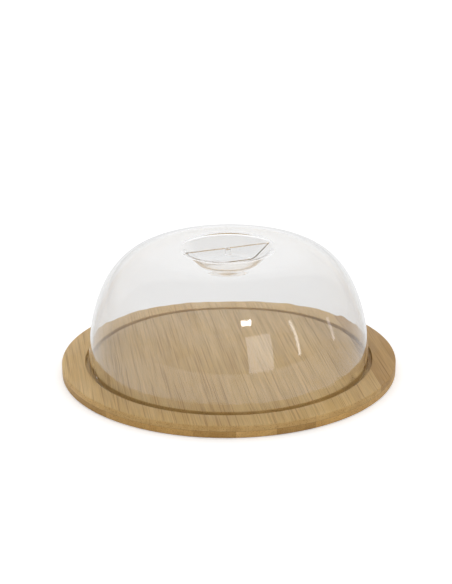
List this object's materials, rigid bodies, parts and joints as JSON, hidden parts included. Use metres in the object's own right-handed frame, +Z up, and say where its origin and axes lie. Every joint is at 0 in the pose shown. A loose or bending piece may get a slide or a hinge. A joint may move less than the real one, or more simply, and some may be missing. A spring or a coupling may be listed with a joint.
{
  "type": "cheese dome",
  "caption": "Round laminated bamboo board with a ring groove and a clear domed cover that stands in it, lifted by a fin across a sunk bowl in its crown.",
  "frame": {"origin": "middle of the underside, on the face of the label that the board rests on", "axes": "+Z up through the crown of the cover, +Y along the grain of the bamboo strips, +X across them"},
  "size_m": [0.2, 0.2, 0.0762],
  "materials": {
    "bamboo": "oiled, satin",
    "clear_plastic": "clear and polished",
    "label_film": "matte"
  },
  "bodies": {
    "board": {"bottom_strip_1": "bamboo", "bottom_strip_2": "bamboo", "bottom_strip_3": "bamboo", "bottom_strip_4": "bamboo", "bottom_strip_5": "bamboo", "bottom_strip_6": "bamboo", "bottom_strip_7": "bamboo", "bottom_strip_8": "bamboo", "bottom_strip_9": "bamboo", "top_strip_1": "bamboo", "top_strip_2": "bamboo", "top_strip_3": "bamboo", "top_strip_4": "bamboo", "top_strip_5": "bamboo", "top_strip_6": "bamboo", "top_strip_7": "bamboo", "top_strip_8": "bamboo", "top_strip_9": "bamboo", "underside_label": "label_film"},
    "cover": {"dome_cover": "clear_plastic"}
  },
  "joints": [
    {"name": "dome_lift", "type": "slide", "parent": "board", "child": "cover", "axis": [0, 0, 1], "range_m": [0, 0.1]}
  ]
}
